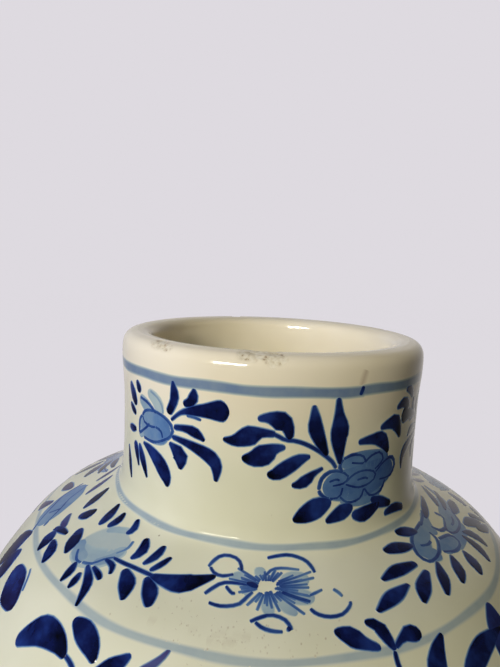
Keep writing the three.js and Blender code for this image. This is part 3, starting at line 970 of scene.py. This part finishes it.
# %% [markdown]
# Iron in the clay and soot in the kiln leave small brown marks, and years of handling stain the pores.
# They are strokes as well, with iron in them instead of cobalt: one firing crack's stain on the lip, and a
# cloud of tiny freckles where the glaze is thin over the shoulder.

# %% Add the brown marks
def freckles(painting, middle, count, spread, seed):
    """A cloud of tiny iron dots round a spot."""
    dice = random.Random(seed)
    for _ in range(count):
        right, up = dice.gauss(0, spread[0]), dice.gauss(0, spread[1])
        size = dice.uniform(0.08, 0.3)
        end = (right + size * dice.uniform(0.4, 1.4), up + dice.uniform(-0.1, 0.1), size)
        painting.brush(middle, [(right, up, size), end], (0, 0), iron=dice.uniform(0.06, 0.34), bleed=0.3)


def stain(painting, middle, touches, iron, bleed):
    """A soft rusty shade with no edge."""
    painting.brush(middle, touches, (0, 0), iron=iron, bleed=bleed)


marks = Painting("iron_stains")
stain(marks, Spot(34, 33), [(-0.2, -1.2, 0.3), (0.2, 0.4, 0.5), (0.8, 2, 0.3)], 0.34, 1.6)
dice = random.Random(9)
for _ in range(14):
    smudge = Spot(dice.gauss(-2, 6), dice.gauss(-18.2, 0.9))
    stain(marks, smudge, [(0, 0, 0.2), (0.8, 0.1, 0.4), (1.6, 0, 0.2)], dice.uniform(0.04, 0.12), 1.8)
freckles(marks, Spot(-4, -17.5), 80, (9, 2.2), 4)
freckles(marks, Spot(6, -19), 40, (8, 1.2), 5)
freckles(marks, Spot(-25, -2), 6, (14, 8), 6)
freckles(marks, Spot(190, -40), 24, (30, 20), 7)
marks.finish()

# %% [markdown]
# A pot is shown best on seamless pale paper that rises behind it, in the soft light of one window. The
# window stands to the left of the viewer and a little above, so the neck's right side falls into shade,
# and only the window leaves sharp highlights on the glaze. Wide weak lights stand for the rest of the room:
# a cool one from the left, a warm one from the right and a strong one behind, which lifts the far side.
# They are left out of reflections, because a real room would show there as a soft haze and not as squares.

# %% Set up the studio
def area_light(name, azimuth, elevation, distance, width, height, power, code):
    """A soft rectangular light that faces the middle of the jar."""
    light = bpy.data.lights.new(name, "AREA")
    light.shape = "RECTANGLE"
    light.size, light.size_y = width, height
    light.energy = power
    light.color = paint(code)[:3]
    lamp = bpy.data.objects.new(name, light)
    bpy.context.scene.collection.objects.link(lamp)
    aim = Vector((0, 0, NECK_FOOT * MM))
    turn, rise = math.radians(azimuth), math.radians(elevation)
    away = Vector((math.sin(turn) * math.cos(rise), -math.cos(turn) * math.cos(rise), math.sin(rise)))
    lamp.location = aim + away * distance
    lamp.rotation_euler = (-away).to_track_quat("-Z", "Y").to_euler()
    lamp.visible_camera = False
    return lamp


area_light("window_light", -24, 22, 1.0, 0.40, 0.20, 8.5, "#fffaea")
area_light("left_room_glow", -78, 20, 1.0, 0.8, 0.8, 6.0, "#b6c6ff").visible_glossy = False
area_light("right_room_glow", 122, 15, 1.0, 0.6, 0.6, 0.7, "#ffe6c0").visible_glossy = False
area_light("glow_behind", 182, 6, 1.0, 0.7, 0.7, 11, "#fffaf2").visible_glossy = False


print(f"{len(bpy.data.lights)} lights")

# %% [markdown]
# The paper should keep one even pale tone behind the jar. It could be a white sheet under strong lights,
# but those lights would wash over the jar too. So the sheet shines by itself with an even light of one
# colour and lights nothing else, and ambient occlusion darkens it close to the foot, where a real jar keeps
# the room's light away.

# %% Roll out the paper
def paper_sweep():
    """A round sheet of pale paper that turns up into a wall all the way round."""
    bm = bmesh.new()
    profile = smooth_line([
        (0, 0), (600, 0), (1100, 0), (1500, 120), (1750, 600), (1800, 1400), (1800, 2400),
    ], 8)
    verts = [bm.verts.new((radius * MM, 0, height * MM)) for radius, height in profile]
    edges = [bm.edges.new(pair) for pair in zip(verts, verts[1:])]
    bmesh.ops.spin(bm, geom=verts + edges, axis=(0, 0, 1), cent=(0, 0, 0),
                   angle=2 * math.pi, steps=96, use_merge=True)
    bmesh.ops.remove_doubles(bm, verts=bm.verts, dist=0.01 * MM)
    mesh = bpy.data.meshes.new("paper_sweep")
    bm.to_mesh(mesh)
    bm.free()
    mesh.shade_smooth()
    material, tree = new_material("pale_seamless_paper")
    nearness = add_node(tree, "ShaderNodeAmbientOcclusion", {"Distance": 0.09, "samples": 8}).outputs["AO"]
    shade = add_node(tree, "ShaderNodeMapRange", {"To Min": 0.35, "To Max": 1.0}, {"Value": nearness})
    sheet = add_node(tree, "ShaderNodeBsdfPrincipled",
                     {"Base Color": paint("#000000"), "Roughness": 1.0, "Specular IOR Level": 0.0,
                      "Emission Color": paint("#dedae0")}, {"Emission Strength": shade.outputs[0]})
    add_node(tree, "ShaderNodeOutputMaterial", links={"Surface": sheet.outputs[0]})
    mesh.materials.append(material)
    sweep = bpy.data.objects.new("paper_sweep", mesh)
    bpy.context.scene.collection.objects.link(sweep)
    sweep.visible_diffuse = False
    sweep.visible_glossy = False


paper_sweep()
print("the paper is rolled out")

# %% [markdown]
# What a glaze reflects matters as much as what lights it. The room itself is dim, but in reflections it has
# a bright side where the paper stands, behind the jar, and that side fades out smoothly to both sides and
# upwards. It draws the pale sheen along the edges of the neck. An image of a real room would do the same,
# but a smooth fade keeps the sheen free of shapes.

# %% Fill the room with dim light
DIM_LIGHT = 0.015
PAPER_EDGES = (0.4, 0.95)
PAPER_LIGHT = (0.04, 0.7)

scene = bpy.context.scene
scene.view_settings.view_transform = "Standard"
world = bpy.data.worlds.new("dim_room")
world.use_nodes = True
room = world.node_tree
room.nodes.clear()
mirrored = add_node(room, "ShaderNodeLightPath").outputs["Is Glossy Ray"]
compass = add_node(room, "ShaderNodeTexCoord").outputs["Generated"]
toward_paper = add_node(room, "ShaderNodeSeparateXYZ", links={"Vector": compass}).outputs["Y"]
paper = add_node(room, "ShaderNodeMapRange",
                 {"From Min": PAPER_EDGES[0], "From Max": PAPER_EDGES[1], "To Min": PAPER_LIGHT[0],
                  "To Max": PAPER_LIGHT[1], "interpolation_type": "SMOOTHSTEP"}, {"Value": toward_paper})
strength = add_node(room, "ShaderNodeMix", {"data_type": "FLOAT", 2: DIM_LIGHT},
                    {0: mirrored, 3: paper.outputs[0]})
glow = add_node(room, "ShaderNodeBackground", {"Color": paint("#ebe6e2")}, {"Strength": strength.outputs[0]})
add_node(room, "ShaderNodeOutputWorld", links={"Surface": glow.outputs[0]})
scene.world = world
print("lit the room with", world.name)

# %% [markdown]
# The jar is looked at from close by, a finger's breadth above the rim, so that the neck looms and the belly
# falls away below it. A wide lens stands near: the same neck through a long lens from far away would look
# flat. The camera is placed in millimetres, turned a little to the left and tipped a little down.

# %% Stand the camera close to the neck
EYE_RIGHT, EYE_BACK, EYE_ABOVE_RIM = 11.6, 133.6, 16.6
EYE_TURN, EYE_DIP, EYE_ROLL = 7.42, 7.53, 2.37
lens = bpy.data.cameras.new("camera")
lens.sensor_width = 36
lens.lens = 28.07
lens.clip_start = 0.005
camera = bpy.data.objects.new("camera", lens)
scene.collection.objects.link(camera)
eye = Vector((EYE_RIGHT, -EYE_BACK, JAR_TOP + EYE_ABOVE_RIM)) * MM
camera.matrix_world = (Matrix.Translation(eye) @ Matrix.Rotation(math.radians(EYE_TURN), 4, "Z")
                       @ Matrix.Rotation(math.radians(90 - EYE_DIP), 4, "X")
                       @ Matrix.Rotation(math.radians(EYE_ROLL), 4, "Z"))
scene.camera = camera
print("the camera stands", round(eye.length, 3), "m from the foot's centre")
